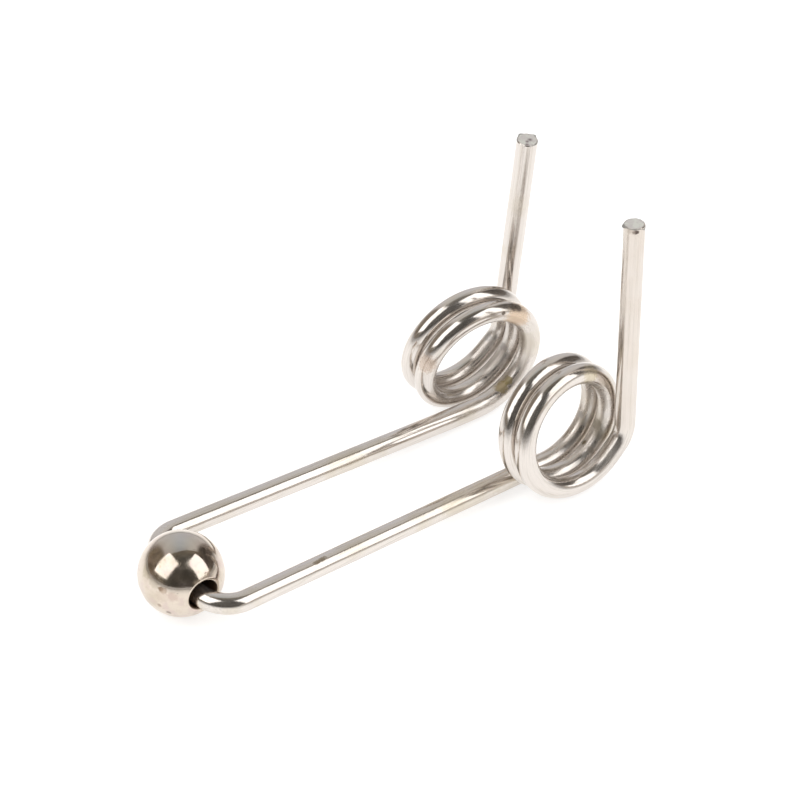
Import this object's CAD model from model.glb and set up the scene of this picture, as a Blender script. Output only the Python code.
import math

import bmesh
import bpy
from mathutils import Matrix, Vector, noise


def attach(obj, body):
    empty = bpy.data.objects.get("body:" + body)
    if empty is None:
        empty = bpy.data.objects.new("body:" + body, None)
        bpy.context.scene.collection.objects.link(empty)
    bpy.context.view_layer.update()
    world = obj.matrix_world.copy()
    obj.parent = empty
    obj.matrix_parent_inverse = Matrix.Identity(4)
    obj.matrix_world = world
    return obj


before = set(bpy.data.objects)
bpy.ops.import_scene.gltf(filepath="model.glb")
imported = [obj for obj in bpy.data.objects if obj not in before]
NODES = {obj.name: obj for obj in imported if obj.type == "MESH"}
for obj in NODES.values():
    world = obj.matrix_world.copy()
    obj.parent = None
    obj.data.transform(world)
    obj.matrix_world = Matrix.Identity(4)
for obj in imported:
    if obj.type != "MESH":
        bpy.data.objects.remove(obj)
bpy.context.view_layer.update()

MM = 0.001

# Places, in metres, and directions on the part. Those of the coil and the leg are on the -Y half, which the
# +Y half mirrors.
COIL_CENTRE = Vector((16.823, -4.45, 6.569)) * MM
COIL_AXIS = Vector((0.05205, -0.99316, 0.10453))
COIL_DOWN = Vector((0.00547, -0.10439, -0.99452))
COIL_FORWARD = Vector((0.99863, 0.05234, 0.0))
LEG_TIP = Vector((24.1848, -7.8827, 27.7174)) * MM
LEG_WAY = Vector((0.065985, 0.065985, 0.995636))
BALL_CENTRE = Vector((-21.177, 0.0, 4.0)) * MM
MIRROR = Vector((1, -1, 1))

# Sizes, in millimetres
WIRE_RADIUS = 1.0
COIL_RADIUS = 5.6  # of the coil's centre line
LEG_SLOPE = 0.0663  # how far a leg leans forward, and inward, for each millimetre of height
BALL_RADIUS = 4.0
BORE_RADIUS = 1.50  # of the ball's bore
POLISH_RADIUS = 1.62  # where the polish begins beside it


# ---------------------------------------------------------------- objects and shader nodes
def new_object(name, data):
    made = bpy.data.objects.new(name, data)
    bpy.context.scene.collection.objects.link(made)
    return made


def placed(place, x, y, z):
    """The matrix of an object at place whose axes point along x, y and z."""
    return Matrix.Translation(place) @ Matrix((x, y, z)).transposed().to_4x4()


class Shader:
    """Builds a node tree from short calls; most return the new node's output."""

    def __init__(self, owner):
        owner.use_nodes = True
        self.tree = owner.node_tree

    def node(self, kind, inputs=(), **settings):
        made = self.tree.nodes.new(kind)
        for key, value in settings.items():
            setattr(made, key, value)
        for key, value in dict(inputs).items():
            self.put(made.inputs[key], value)
        return made

    def put(self, socket, value):
        if isinstance(value, bpy.types.NodeSocket):
            self.tree.links.new(value, socket)
        elif socket.type == "RGBA" and len(value) == 3:
            socket.default_value = (*value, 1.0)
        else:
            socket.default_value = value

    def math(self, operation, a, b=0.0):
        return self.node("ShaderNodeMath", {0: a, 1: b}, operation=operation).outputs[0]

    def add(self, a, b):
        return self.math("ADD", a, b)

    def times(self, a, b):
        return self.math("MULTIPLY", a, b)

    def vector(self, operation, a, b=(0.0, 0.0, 0.0), output=0):
        made = self.node("ShaderNodeVectorMath", {0: a, 1: b}, operation=operation)
        return made.outputs[output]

    def dot(self, a, b):
        return self.vector("DOT_PRODUCT", a, b, "Value")

    def length(self, a):
        return self.vector("LENGTH", a, output="Value")

    def distance(self, a, b):
        return self.vector("DISTANCE", a, b, "Value")

    def join(self, x, y, z):
        return self.node("ShaderNodeCombineXYZ", {0: x, 1: y, 2: z}).outputs[0]

    def split(self, place):
        return self.node("ShaderNodeSeparateXYZ", {0: place}).outputs

    def millimetres(self):
        """The place on the object, in millimetres."""
        return self.vector("MULTIPLY", self.node("ShaderNodeTexCoord").outputs["Object"], (1000, 1000, 1000))

    def fade(self, value, low, high, to_low=0.0, to_high=1.0):
        """Smooth step from to_low, where value is low, to to_high, where it is high."""
        made = self.node("ShaderNodeMapRange", {0: value, 1: low, 2: high, 3: to_low, 4: to_high},
                         interpolation_type="SMOOTHSTEP")
        return made.outputs[0]

    def noise(self, place, scale, detail, w=None):
        inputs = {"Vector": place, "Scale": scale, "Detail": detail}
        if w is not None:
            inputs["W"] = w
        made = self.node("ShaderNodeTexNoise", inputs, noise_dimensions="3D" if w is None else "4D")
        return made.outputs["Fac"]

    def ramp(self, value, stops):
        made = self.node("ShaderNodeValToRGB", {0: value})
        elements = made.color_ramp.elements
        while len(elements) < len(stops):
            elements.new(0.5)
        for element, (position, color) in zip(elements, stops):
            element.position, element.color = position, (*color, 1.0)
        return made.outputs[0]

    def mix(self, share, a, b, blend="MIX"):
        made = self.node("ShaderNodeMix", data_type="RGBA", blend_type=blend)
        self.put(made.inputs["Factor"], share)
        self.put(made.inputs[6], a)
        self.put(made.inputs[7], b)
        return made.outputs[2]

    def shaded(self, color, level):
        """The colour times a level."""
        return self.mix(1.0, color, self.join(level, level, level), "MULTIPLY")

    def spot(self, place, centre, radius):
        """1 at the centre, 0 from the radius outwards."""
        return self.fade(self.distance(place, Vector(centre)), radius, 0.0)

    def stain(self, place, centre, radius, share, ragged):
        """A spot with an uneven edge; ragged is a noise about 0.5."""
        edge = self.add(self.spot(place, centre, radius), self.fade(ragged, 0.3, 0.7, -0.18, 0.18))
        return self.fade(edge, 0.18, 0.70, 0.0, share)

    def bump(self, height, strength, depth, under=None, invert=False):
        """The normals of a height that is depth millimetres deep, on top of the bump called under."""
        inputs = {"Height": height, "Strength": strength, "Distance": depth * MM}
        if under is not None:
            inputs["Normal"] = under
        return self.node("ShaderNodeBump", inputs, invert=invert).outputs[0]


# ---------------------------------------------------------------- camera
# Fitted to the photograph: place in metres, directions to the right and up, lens and sensor in millimetres
CAMERA_PLACE = (-0.183960, -0.252285, 0.279640)
CAMERA_RIGHT = Vector((0.801461, -0.598043, -0.002265))
CAMERA_UP = Vector((0.389131, 0.518606, 0.761331))
CAMERA_LENS = 202.5
CAMERA_SENSOR = 36.0
CAMERA_NEAR = 0.01  # the nearest that it sees, in metres


def make_camera():
    data = bpy.data.cameras.new("camera")
    data.lens = CAMERA_LENS
    data.sensor_width = CAMERA_SENSOR
    data.clip_start = CAMERA_NEAR
    camera = new_object("camera", data)
    camera.matrix_world = placed(CAMERA_PLACE, CAMERA_RIGHT, CAMERA_UP, CAMERA_RIGHT.cross(CAMERA_UP))
    bpy.context.scene.camera = camera


# ---------------------------------------------------------------- light
# Rectangular lamps, by name: the way to each from the ball, the way across it, and half its width and height
# where it would stand one metre off
SOFT_BOXES = {
    "soft_box_left": ((-0.678, 0.091, 0.730), (0.09, 0.995, -0.04), (0.404, 0.521)),
    "soft_box_right": ((0.468, -0.630, 0.619), (0.234, -0.588, -0.775), (0.475, 0.350)),
}
SOFT_BOX_DISTANCE = 0.6  # in metres
SOFT_BOX_RADIANCE = 1.7
FILL_ENERGY = 1.2
FILL_ANGLE = 120  # in degrees

# The room's colours. A ramp's stops are a position and a colour.
ROOM_RAMP = [(0.0, (0.22, 0.18, 0.14)), (0.45, (0.18, 0.152, 0.115)), (0.8, (0.11, 0.104, 0.092)),
             (1.0, (0.066, 0.060, 0.053))]
ROOM_LOW = (0.32, 0.28, 0.25)
ROOM_PALE_CORNER = (0.50, 0.45, 0.40)
ROOM_DARK_CORNER = (0.095, 0.08, 0.068)
COOL_RAMP = [(0.2, (0.66, 0.66, 0.695)), (0.64, (0.66, 0.66, 0.68)), (0.87, (0.57, 0.59, 0.60)),
             (0.97, (0.45, 0.475, 0.48))]
WARM_RAMP = [(0.2, (0.67, 0.66, 0.67)), (0.64, (0.68, 0.66, 0.63)), (0.87, (0.60, 0.585, 0.55)),
             (0.97, (0.475, 0.465, 0.44))]
BACKDROP_SIDE = (0.47, 0.42, 0.41)


def make_soft_box(name, way, across, half):
    """A lamp that faces the ball from SOFT_BOX_DISTANCE away."""
    way, across = Vector(way).normalized(), Vector(across).normalized()
    across = (across - way * across.dot(way)).normalized()
    data = bpy.data.lights.new(name, "AREA")
    data.shape = "RECTANGLE"
    data.size, data.size_y = (2 * side * SOFT_BOX_DISTANCE for side in half)
    data.energy = SOFT_BOX_RADIANCE * math.pi * data.size * data.size_y
    lamp = new_object(name, data)
    lamp.matrix_world = placed(BALL_CENTRE + way * SOFT_BOX_DISTANCE, across, way.cross(across), way)
    lamp.visible_camera = False


def make_fill():
    """Even light from overhead that brings dull surfaces to a plain level."""
    data = bpy.data.lights.new("fill", "SUN")
    data.energy = FILL_ENERGY
    data.angle = math.radians(FILL_ANGLE)
    lamp = new_object("fill", data)
    lamp.visible_glossy = False
    lamp.visible_camera = False


def make_room():
    """What the metal mirrors: a dim olive-brown room, darkest in front, and a grey backdrop that rises behind
    the part and curves over it, cool in its middle and warmer beside. The fades' limits are cosines."""
    world = bpy.data.worlds.new("room")
    bpy.context.scene.world = world
    s = Shader(world)
    s.tree.nodes.clear()
    way = s.node("ShaderNodeTexCoord").outputs["Generated"]
    height = s.dot(way, (0, 0, 1))

    def towards(x, y, z):
        return s.dot(way, Vector((x, y, z)).normalized())

    room = s.ramp(s.fade(towards(-0.25, -0.85, 0.45), -0.4, 1.0), ROOM_RAMP)
    room = s.mix(s.fade(height, 0.14, -0.02), room, ROOM_LOW)
    pale_corner = s.times(s.fade(towards(0.5, -0.86, 0.1), 0.80, 0.93), s.fade(height, 0.30, 0.16))
    room = s.mix(pale_corner, room, ROOM_PALE_CORNER)
    room = s.mix(s.fade(towards(1.0, -0.05, 0.2), 0.70, 0.95), room, ROOM_DARK_CORNER)
    room = s.shaded(room, s.fade(s.noise(way, 3.0, 3.0), 0.25, 0.75, 0.6, 1.4))

    beside = s.math("ABSOLUTE", s.dot(way, (0.829, -0.559, 0.0)))
    behind = s.dot(way, (0.352, 0.969, -0.22))
    backdrop = s.mix(s.fade(beside, -0.06, 0.34), s.ramp(height, COOL_RAMP), s.ramp(height, WARM_RAMP))
    backdrop = s.mix(s.fade(beside, 0.40, 0.70, 0.0, 0.6), backdrop, BACKDROP_SIDE)
    room = s.mix(s.times(s.fade(beside, 0.66, 0.52), s.fade(behind, -0.03, 0.04)), room, backdrop)
    light = s.node("ShaderNodeBackground", {"Color": room})
    s.node("ShaderNodeOutputWorld", {"Surface": light.outputs[0]})


# ---------------------------------------------------------------- floor
FLOOR_RINGS = [0.05, 0.2, 0.6, 1.5, 3.0]  # radii on its flat part, in metres
FLOOR_SHADED = 1.4  # where it starts to grey
FLOOR_BEND = 0.338  # radius of the lip's curve
FLOOR_LIP_ANGLES = range(12, 73, 12)  # in degrees
FLOOR_SIDES = 96
FLOOR_GLOW = (0.62, 0.62, 0.62)
FLOOR_MATT = (0.64, 0.64, 0.64)


def make_floor():
    """A pale round table that greys towards its low lip, which hides the foot of the room."""
    flat = FLOOR_RINGS[-1]
    rings = [(r, 0.0) for r in FLOOR_RINGS]
    for degrees in FLOOR_LIP_ANGLES:
        a = math.radians(degrees)
        rings.append((flat + FLOOR_BEND * math.sin(a), FLOOR_BEND * (1 - math.cos(a))))
    verts = [(0.0, 0.0, 0.0)]
    for r, z in rings:
        for i in range(FLOOR_SIDES):
            a = math.tau * i / FLOOR_SIDES
            verts.append((r * math.cos(a), r * math.sin(a), z))
    following = [(i, (i + 1) % FLOOR_SIDES) for i in range(FLOOR_SIDES)]
    faces = [(0, 1 + i, 1 + j) for i, j in following]
    for k in range(len(rings) - 1):
        a = 1 + k * FLOOR_SIDES
        b = a + FLOOR_SIDES
        faces += [(a + i, b + i, b + j, a + j) for i, j in following]
    mesh = bpy.data.meshes.new("floor")
    mesh.from_pydata(verts, [], faces)
    mesh.shade_smooth()
    table = new_object("floor", mesh)

    paint = bpy.data.materials.new("floor")
    s = Shader(paint)
    s.tree.nodes.clear()
    rays = s.node("ShaderNodeLightPath").outputs
    seen = s.math("MAXIMUM", rays["Is Camera Ray"], rays["Is Glossy Ray"])
    seen = s.math("MAXIMUM", seen, rays["Is Transmission Ray"])
    place = s.node("ShaderNodeTexCoord").outputs["Object"]
    level = s.fade(s.length(place), FLOOR_SHADED, flat, 1.0, 0.5)
    glow = s.node("ShaderNodeEmission", {"Color": s.shaded(FLOOR_GLOW, level), "Strength": seen})
    matt = s.node("ShaderNodeBsdfDiffuse", {"Color": s.shaded(FLOOR_MATT, level)})
    both = s.node("ShaderNodeAddShader", {0: glow.outputs[0], 1: matt.outputs[0]})
    sheen = s.node("ShaderNodeBsdfGlossy", {"Color": (1.0, 1.0, 1.0), "Roughness": 0.2})
    share = s.node("ShaderNodeFresnel", {"IOR": 1.07})
    satin = s.node("ShaderNodeMixShader", {0: share.outputs[0], 1: both.outputs[0], 2: sheen.outputs[0]})
    s.node("ShaderNodeOutputMaterial", {"Surface": satin.outputs[0]})
    mesh.materials.append(paint)


# ---------------------------------------------------------------- metals
def make_metal(name, plain, metallic, look):
    """A metal whose look(s) gives what feeds its sockets, by their names. plain and metallic are the values
    that its colour and its metallic share have without that."""
    paint = bpy.data.materials.new(name)
    s = Shader(paint)
    skin = s.tree.nodes["Principled BSDF"].inputs
    s.put(skin["Base Color"], plain)
    s.put(skin["Metallic"], metallic)
    for key, value in look(s).items():
        s.put(skin[key], value)
    return paint


# The wire's colours: bare, tarnished, on the duller right leg and in the draw marks
WIRE_COLOR = (0.722, 0.674, 0.632)
WIRE_TARNISHED = (0.655, 0.597, 0.512)
WIRE_DULL = (0.665, 0.60, 0.54)
WIRE_MARKED = (0.54, 0.485, 0.40)
# Stains on it: centre in millimetres, radius, strength and colour
WIRE_STAINS = [
    # left coil
    ((19.1, 4.7, 2.5), 1.20, 0.85, (0.36, 0.28, 0.14)),
    ((19.8, 4.6, 3.0), 0.85, 0.85, (0.27, 0.21, 0.09)),
    ((20.3, 3.7, 11.2), 2.6, 0.80, (0.74, 0.56, 0.40)),
    ((18.54, 3.89, 12.29), 0.38, 0.90, (0.16, 0.12, 0.09)),
    ((21.1, 7.1, 4.9), 0.75, 0.50, (0.30, 0.27, 0.27)),
    ((21.1, 6.4, 4.1), 0.60, 0.50, (0.32, 0.29, 0.28)),
    ((21.1, 9.5, 4.5), 0.80, 0.50, (0.36, 0.36, 0.36)),
    ((19.9, 4.20, 12.30), 0.75, 0.75, (0.12, 0.10, 0.09)),
    ((20.5, 4.15, 11.90), 0.75, 0.75, (0.12, 0.10, 0.09)),
    ((10.8, 5.6, 8.8), 1.8, 0.60, (0.60, 0.46, 0.36)),
    # right coil
    ((19.8, -7.0, 3.2), 0.45, 0.90, (0.17, 0.13, 0.07)),
    ((19.84, -7.93, 2.94), 0.60, 0.60, (0.30, 0.25, 0.19)),
    ((21.1, -7.2, 4.9), 1.00, 0.65, (0.28, 0.245, 0.18)),
    ((21.0, -7.7, 4.1), 0.90, 0.45, (0.30, 0.26, 0.19)),
    ((21.0, -4.9, 4.6), 0.60, 0.45, (0.32, 0.31, 0.30)),
    ((19.6, -8.0, 12.25), 1.8, 0.60, (0.64, 0.55, 0.37)),
    # under the right leg's cut end
    ((23.68, -8.80, 27.50), 0.38, 1.00, (0.13, 0.10, 0.085)),
    ((23.50, -8.66, 27.52), 0.30, 0.80, (0.25, 0.20, 0.17)),
    ((23.28, -8.34, 27.60), 0.55, 0.40, (0.42, 0.35, 0.29)),
    # a smudge along the right arm, and a faint film on it near the coil
    ((-10.62, -5.95, 3.77), 0.32, 0.70, (0.30, 0.25, 0.19)),
    ((-10.40, -5.95, 3.76), 0.36, 0.80, (0.28, 0.23, 0.17)),
    ((-10.16, -5.94, 3.75), 0.36, 0.85, (0.26, 0.21, 0.15)),
    ((-9.86, -5.89, 3.75), 0.36, 0.85, (0.26, 0.21, 0.15)),
    ((-9.62, -5.88, 3.74), 0.38, 0.90, (0.26, 0.21, 0.15)),
    ((-9.36, -5.85, 3.73), 0.34, 0.70, (0.28, 0.23, 0.17)),
    ((7.0, -5.1, 2.8), 6.5, 0.22, (0.62, 0.53, 0.38)),
]
# Rubbed places on it, where fine scratches veil the shine: centre, radius and strength
WIRE_RUBS = [
    ((20.4, -10.3, 3.3), 3.2, 0.28),
    ((20.6, 8.2, 3.6), 2.6, 0.18),
    ((11.0, -8.8, 9.2), 1.6, 0.12),
    ((20.6, 9.4, 4.2), 3.4, 0.30),
]
# Added to the coordinates along the wire, so that no two stretches of it share their noise
SIDE_SHIFT, ARM_SHIFT, CROSSBAR_SHIFT, LEG_SHIFT = 20.0, 40.0, 70.0, 100.0


def wire_ways(s, place):
    """How scuffed a place is, and the stretches of wire: for each, how much of it is there, two coordinates
    that run along the wire and two across it. The coils, the first, are where the others aren't. The fades'
    limits are millimetres, on the part or from the coil's centre."""
    x, y, z = s.split(place)
    side = s.times(s.math("SIGN", y), SIDE_SHIFT)
    beside = s.times(s.math("ABSOLUTE", y), -1.0)
    folded = s.vector("SUBTRACT", s.join(x, beside, z), COIL_CENTRE / MM)
    down, ahead = s.dot(folded, COIL_DOWN), s.dot(folded, COIL_FORWARD)
    along_axis = s.dot(folded, COIL_AXIS)
    radius = s.length(s.join(down, ahead, 0.0))
    turn = s.math("DIVIDE", COIL_RADIUS, radius)
    lean = s.times(z, LEG_SLOPE)

    clear_of_coil = s.times(s.fade(radius, 6.6, 6.9), s.times(s.fade(x, 18.0, 16.0), s.fade(z, 4.5, 4.0)))
    leaving_coil = s.times(s.fade(along_axis, 1.05, 0.85),
                           s.times(s.fade(ahead, 0.0, -1.2), s.fade(z, 2.6, 2.2)))
    arm = s.math("MAXIMUM", clear_of_coil, leaving_coil)
    crossbar = s.fade(x, -19.8, -20.8)
    leg = s.times(s.fade(along_axis, 3.9, 4.3), s.times(s.fade(z, 4.6, 6.6), s.fade(x, 18.8, 19.6)))
    inside_coil = s.times(s.fade(radius, 5.90, 5.35), s.fade(along_axis, 4.2, 3.7))
    scuffed = s.times(s.fade(ahead, 0.0, 2.6, 0.55, 1.0), inside_coil)
    return scuffed, {
        "coils": (None, s.times(down, turn), s.add(s.times(ahead, turn), side), radius, along_axis),
        "arms": (arm, x, s.add(ARM_SHIFT, side), z, beside),
        "crossbar": (crossbar, y, CROSSBAR_SHIFT, z, x),
        "legs": (leg, z, s.add(LEG_SHIFT, side),
                 s.math("SUBTRACT", x, lean), s.math("SUBTRACT", beside, lean)),
    }


def draw_marks(s, ways, along, across, detail):
    """Noise stretched along the wire; along and across are in marks per millimetre."""
    marks = None
    for share, slow_1, slow_2, fast_1, fast_2 in ways.values():
        place = s.join(s.times(slow_1, along), s.times(slow_2, along), s.times(fast_1, across))
        here = s.noise(place, 1.0, detail, w=s.times(fast_2, across))
        marks = here if share is None else s.node("ShaderNodeMix", {0: share, 2: marks, 3: here}).outputs[0]
    return marks


def nickel_wire(s):
    """Bright nickel, drawn, tarnished in clouds, stained, and rubbed outside and scuffed inside the coils."""
    place = s.millimetres()
    _, y, z = s.split(place)
    scuffed, ways = wire_ways(s, place)
    arms, legs = ways["arms"][0], ways["legs"][0]
    fine = draw_marks(s, ways, along=0.12, across=7.0, detail=3.0)
    broad = draw_marks(s, ways, along=0.05, across=1.6, detail=2.0)
    cloud = s.noise(place, 0.22, 3.0)
    dents = s.noise(place, 1.3, 1.0)
    flecks = s.noise(place, 4.5, 2.0)

    color = s.mix(s.times(s.fade(cloud, 0.50, 0.70), 0.8), WIRE_COLOR, WIRE_TARNISHED)
    right_leg = s.times(legs, s.fade(y, 2.0, -2.0))
    color = s.mix(s.times(right_leg, s.fade(cloud, 0.30, 0.60, 0.35, 0.75)), color, WIRE_DULL)
    color = s.mix(s.fade(fine, 0.50, 0.75, 0.0, 0.45), color, WIRE_MARKED)
    stained = None
    for centre, radius, share, stain in WIRE_STAINS:
        blot = s.stain(place, centre, radius, share, flecks)
        color = s.mix(blot, color, stain)
        stained = blot if stained is None else s.math("MAXIMUM", stained, blot)

    rough = s.add(s.fade(fine, 0.3, 0.8, 0.11, 0.20), s.fade(cloud, 0.45, 0.75, 0.0, 0.06))
    rough = s.math("SUBTRACT", rough, s.times(arms, 0.03))
    rough = s.add(rough, s.times(scuffed, s.fade(dents, 0.3, 0.6, 0.08, 0.18)))
    rough = s.add(rough, s.times(stained, 0.12))
    rough = s.add(rough, s.fade(z, 13.0, 17.0, 0.0, 0.09))
    haze = s.add(s.fade(fine, 0.3, 0.75, 0.03, 0.12), s.times(stained, 0.3))
    for centre, radius, share in WIRE_RUBS:
        rub = s.times(s.spot(place, centre, radius), s.fade(fine, 0.3, 0.7, share * 0.5, share))
        haze = s.add(haze, rub)
        rough = s.add(rough, s.times(rub, 0.6))

    normal = s.bump(broad, 0.25, 0.02)
    normal = s.bump(dents, 0.15, 0.03, normal)
    normal = s.bump(fine, 0.3, 0.006, normal)
    metallic = s.math("SUBTRACT", 1.0, haze)
    return {"Base Color": color, "Metallic": metallic, "Roughness": rough, "Normal": normal}


# The ball's colours: bare, in its two kinds of cloud, on top, in its pits and in its bore
BALL_COLOR = (0.69, 0.61, 0.525)
BALL_CLOUDED = (0.57, 0.49, 0.395)
BALL_FILMED = (0.60, 0.485, 0.45)
BALL_TOP = (0.58, 0.565, 0.535)
BALL_PITTED = (0.32, 0.25, 0.19)
BALL_BORE = (0.11, 0.062, 0.032)
BALL_TOP_REACH = 2.6  # how far the colour of its top spreads, in millimetres
BALL_FILM_SHIFT = (7.0, 3.0, 5.0)  # keeps the two kinds of cloud apart
# Stains on it, as on the wire
BALL_STAINS = [
    ((-24.56, -1.73, 5.22), 0.48, 0.9, (0.26, 0.18, 0.12)),
    ((-24.35, -2.00, 5.15), 0.60, 0.6, (0.42, 0.31, 0.23)),
    ((-24.66, -1.95, 4.50), 1.10, 0.35, (0.52, 0.42, 0.34)),
    ((-23.98, -2.75, 4.71), 0.90, 0.45, (0.52, 0.41, 0.33)),
    ((-24.73, -1.69, 3.31), 0.40, 0.7, (0.34, 0.25, 0.19)),
    ((-24.14, -2.21, 2.48), 0.42, 0.8, (0.26, 0.20, 0.16)),
    ((-24.60, 0.20, 6.05), 1.30, 0.5, (0.42, 0.36, 0.24)),
    ((-23.60, 1.10, 7.00), 0.90, 0.5, (0.44, 0.38, 0.28)),
    ((-24.60, -0.90, 5.60), 1.20, 0.5, (0.48, 0.42, 0.33)),
    ((-19.25, -1.57, 7.13), 1.10, 0.4, (0.50, 0.40, 0.34)),
]
# Places on it where the polish is dulled: centre and radius
BALL_SMEARS = [
    ((-22.29, -2.33, 7.05), 0.9),
    ((-21.83, -2.00, 7.40), 0.7),
    ((-23.30, 1.28, 7.14), 1.3),
    ((-19.25, -1.57, 7.13), 1.2),
    ((-22.9, -2.9, 6.2), 0.9),
    ((-24.6, -0.9, 5.6), 1.6),
]


def ball_steel(s):
    """Polished steel with a cloudy film, stains and tiny pits; its bore is dark and hardly shines."""
    place = s.millimetres()
    from_centre = s.vector("SUBTRACT", place, BALL_CENTRE / MM)
    x, _, z = s.split(from_centre)
    from_bore = s.length(s.join(x, z, 0.0))
    in_bore = s.fade(from_bore, POLISH_RADIUS, BORE_RADIUS)

    cloud = s.noise(place, 0.55, 4.0)
    grain = s.noise(place, 4.0, 2.0)
    film = s.noise(s.vector("ADD", place, BALL_FILM_SHIFT), 0.9, 3.0)
    pits = s.fade(s.noise(place, 2.2, 2.0), 0.66, 0.80)

    color = s.mix(s.fade(cloud, 0.40, 0.70, 0.0, 0.9), BALL_COLOR, BALL_CLOUDED)
    color = s.mix(s.fade(film, 0.48, 0.72, 0.0, 0.6), color, BALL_FILMED)
    top = s.spot(from_centre, (0.0, 0.0, BALL_RADIUS), BALL_TOP_REACH)
    color = s.mix(s.times(top, 0.9), color, BALL_TOP)
    color = s.mix(s.times(pits, 0.35), color, BALL_PITTED)
    for centre, radius, share, stain in BALL_STAINS:
        color = s.mix(s.stain(place, centre, radius, share, grain), color, stain)
    color = s.mix(in_bore, color, BALL_BORE)

    rough = s.add(s.fade(cloud, 0.35, 0.75, 0.07, 0.14), s.fade(grain, 0.4, 0.8, 0.0, 0.05))
    for centre, radius in BALL_SMEARS:
        rough = s.add(rough, s.times(s.spot(place, centre, radius), s.fade(film, 0.35, 0.65, 0.04, 0.16)))
    rough = s.add(rough, s.times(in_bore, 0.4))

    normal = s.bump(cloud, 0.4, 0.05)
    normal = s.bump(film, 0.2, 0.02, normal)
    normal = s.bump(pits, 0.3, 0.02, normal, invert=True)
    metallic = s.fade(from_bore, BORE_RADIUS, POLISH_RADIUS, 0.2, 0.985)
    return {"Base Color": color, "Metallic": metallic, "Roughness": rough, "Normal": normal}


# The sheared ends' colours: plain, bright and dull patches, grain, edge and pits
SHEARED_COLOR = (0.64, 0.63, 0.59)
SHEARED_BRIGHT = (0.66, 0.66, 0.61)
SHEARED_DULL = (0.60, 0.57, 0.55)
SHEARED_GRAIN = (0.48, 0.46, 0.43)
SHEARED_EDGE = (0.24, 0.23, 0.215)
SHEARED_PITTED = (0.20, 0.155, 0.16)
# Pits in the left leg's end: centre in millimetres and radius
END_PITS = [((24.37, 7.74, 27.70), 0.34), ((23.98, 7.65, 27.71), 0.26), ((23.66, 7.28, 27.71), 0.30)]


def sheared_steel(s):
    """Bare grey steel of a sheared end, darker at its rim, with small torn pits."""
    place = s.millimetres()
    x, y, z = s.split(place)
    folded = s.join(x, s.times(s.math("ABSOLUTE", y), -1.0), z)
    away = s.distance(folded, LEG_TIP / MM)
    grain = s.noise(place, 6.0, 3.0)
    patch = s.noise(place, 1.5, 2.0)
    color = s.mix(s.fade(patch, 0.4, 0.65), SHEARED_BRIGHT, SHEARED_DULL)
    color = s.mix(s.fade(grain, 0.5, 0.8, 0.0, 0.5), color, SHEARED_GRAIN)
    edge = s.add(away, s.fade(grain, 0.3, 0.7, -0.06, 0.06))
    color = s.mix(s.fade(edge, 0.84, 0.98, 0.0, 0.85), color, SHEARED_EDGE)
    for centre, radius in END_PITS:
        color = s.mix(s.spot(place, centre, radius), color, SHEARED_PITTED)
    rough = s.fade(grain, 0.3, 0.7, 0.38, 0.55)
    return {"Base Color": color, "Roughness": rough, "Normal": s.bump(grain, 0.5, 0.02)}


# ---------------------------------------------------------------- sheared ends
# How each end is burred. Lobes widen the rim and folds draw the burr down over the wire's side: height in
# millimetres, middle in degrees and half width in radians. dome is how high the face's middle stands, and
# flat cuts the rim straight at that distance from the middle. The right end has mushroomed, with a rolled
# lobe and a shoulder; the left end is pinched flat at the back, with a corner at each end of the flat.
RIGHT_END = {"lobes": [(0.20, 192, 0.42), (0.03, 345, 0.8)], "folds": [(0.12, 195, 0.5), (0.30, 340, 0.75)],
             "flat": None, "dome": 0.02}
LEFT_END = {"lobes": [(0.18, 128, 0.42), (0.18, 51, 0.42)], "folds": [(0.10, 262, 0.45), (0.08, 215, 0.3)],
            "flat": 0.93, "dome": 0.0}
END_STEPS = 48  # points round it
FACE_HEIGHT = 0.012  # of the face over the solid's end, without the dome
FACE_RAGGED = 0.25
FACE_RINGS = [0.3, 0.6, 0.78]  # shares of the rim's radius
# Rings of the burr, from the face down the side: share of the rim's radius, height, raggedness, share of the
# folds
BURR_RINGS = [
    (0.90, 0.0, 0.4, 0.15),
    (0.975, -0.02, 0.6, 0.45),
    (1.0, -0.06, 0.8, 0.8),
    (0.985, -0.12, 1.0, 1.0),
    (0.92, -0.15, 0.6, 1.0),
]
BURR_FOOT = -0.16  # height of the point that closes it inside the wire
# How far the raggedness moves a point up and outwards, in millimetres, and how fast it changes round the rim
# and from ring to ring
RAGGED_UP, RAGGED_OUT, RAGGED_ROUND, RAGGED_ACROSS = 0.05, 0.02, 3, 7


def bulges(a, bumps):
    """The sum, at the angle a, of smooth bumps of the given height, middle and half width."""
    total = 0.0
    for height, middle, width in bumps:
        off = abs((a - math.radians(middle) + math.pi) % math.tau - math.pi)
        total += height * max(0.0, 1 - (off / width) ** 2) ** 2
    return total


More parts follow.
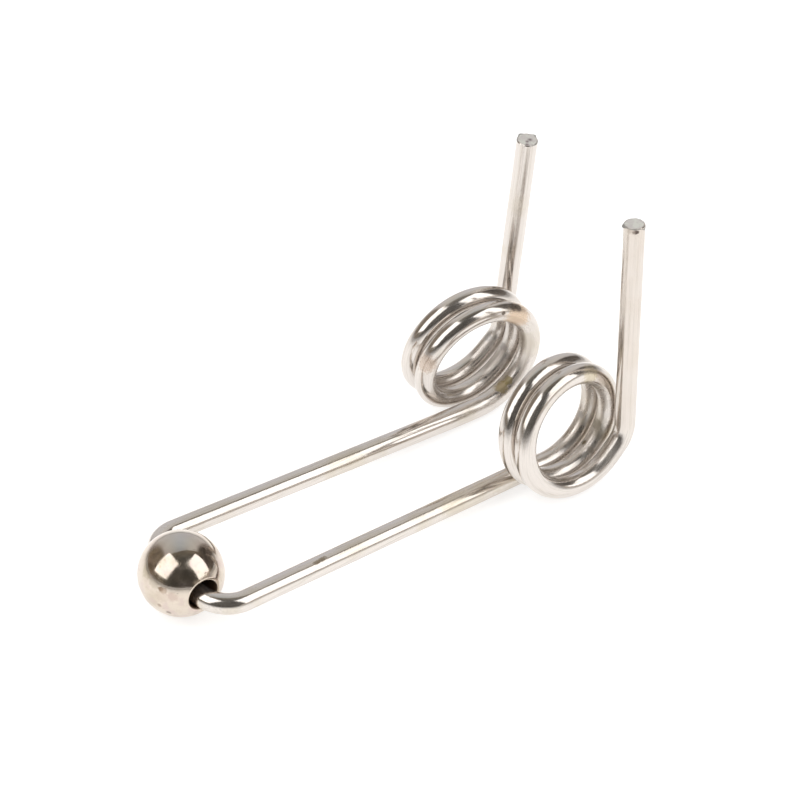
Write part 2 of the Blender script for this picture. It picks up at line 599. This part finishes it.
def make_cut_end(name, tip, way, end, paint):
    """The burred face that the shear leaves on a wire's end at tip, where the wire points along way. Angles
    round it run from (0.8, -0.6) towards (0.6, 0.8)."""
    right = Vector((0.8, -0.6, 0.0))
    right = (right - way * right.dot(way)).normalized()
    back = way.cross(right)
    mesh = bmesh.new()

    def rim(a):
        wide = WIRE_RADIUS + bulges(a, end["lobes"])
        cut = end["flat"] is not None and math.sin(a) > 0.5
        return min(wide, end["flat"] / math.sin(a)) if cut else wide

    def ring(share, height, ragged, folded=0.0):
        """One ring of points, at a share of the rim's radius; folded is its share of the folds."""
        made = []
        for k in range(END_STEPS):
            a = math.tau * k / END_STEPS
            place = Vector((RAGGED_ROUND * math.cos(a), RAGGED_ROUND * math.sin(a),
                            RAGGED_ACROSS * share + tip.y / MM))
            rough = noise.noise(place) * ragged
            out = right * math.cos(a) + back * math.sin(a)
            reach = rim(a) * share + RAGGED_OUT * rough
            up = height + RAGGED_UP * rough - bulges(a, end["folds"]) * folded
            made.append(mesh.verts.new(tip + (out * reach + way * up) * MM))
        return made

    dome = end["dome"]
    rings = [ring(share, FACE_HEIGHT + dome * (1 - share * share), FACE_RAGGED) for share in FACE_RINGS]
    rings += [ring(*shape) for shape in BURR_RINGS]
    following = [(k, (k + 1) % END_STEPS) for k in range(END_STEPS)]
    for low, high in zip(rings, rings[1:]):
        for k, j in following:
            mesh.faces.new((low[k], high[k], high[j], low[j]))
    for edge, height in ((rings[0], FACE_HEIGHT + dome), (rings[-1], BURR_FOOT)):
        middle = mesh.verts.new(tip + way * height * MM)
        for k, j in following:
            pair = (edge[k], edge[j]) if height > 0 else (edge[j], edge[k])
            mesh.faces.new((middle, *pair))
    bmesh.ops.recalc_face_normals(mesh, faces=mesh.faces)
    data = bpy.data.meshes.new(name)
    mesh.to_mesh(data)
    mesh.free()
    data.shade_smooth()
    data.materials.append(paint)
    piece = new_object(name, data)
    smooth = piece.modifiers.new("smooth", "SUBSURF")
    smooth.levels = smooth.render_levels = 1
    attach(piece, "spring")


make_camera()
make_room()
make_floor()
for name, (way, across, half) in SOFT_BOXES.items():
    make_soft_box(name, way, across, half)
make_fill()

NODES["spring_wire"].material_slots[0].material = make_metal("nickel_wire", WIRE_COLOR, 1.0, nickel_wire)
NODES["ball"].material_slots[0].material = make_metal("polished_ball", BALL_COLOR, 1.0, ball_steel)
cut_steel = make_metal("sheared_steel", SHEARED_COLOR, 0.35, sheared_steel)
make_cut_end("cut_end_right", LEG_TIP, LEG_WAY, RIGHT_END, cut_steel)
make_cut_end("cut_end_left", LEG_TIP * MIRROR, LEG_WAY * MIRROR, LEFT_END, cut_steel)

bpy.context.scene.view_settings.view_transform = "Standard"
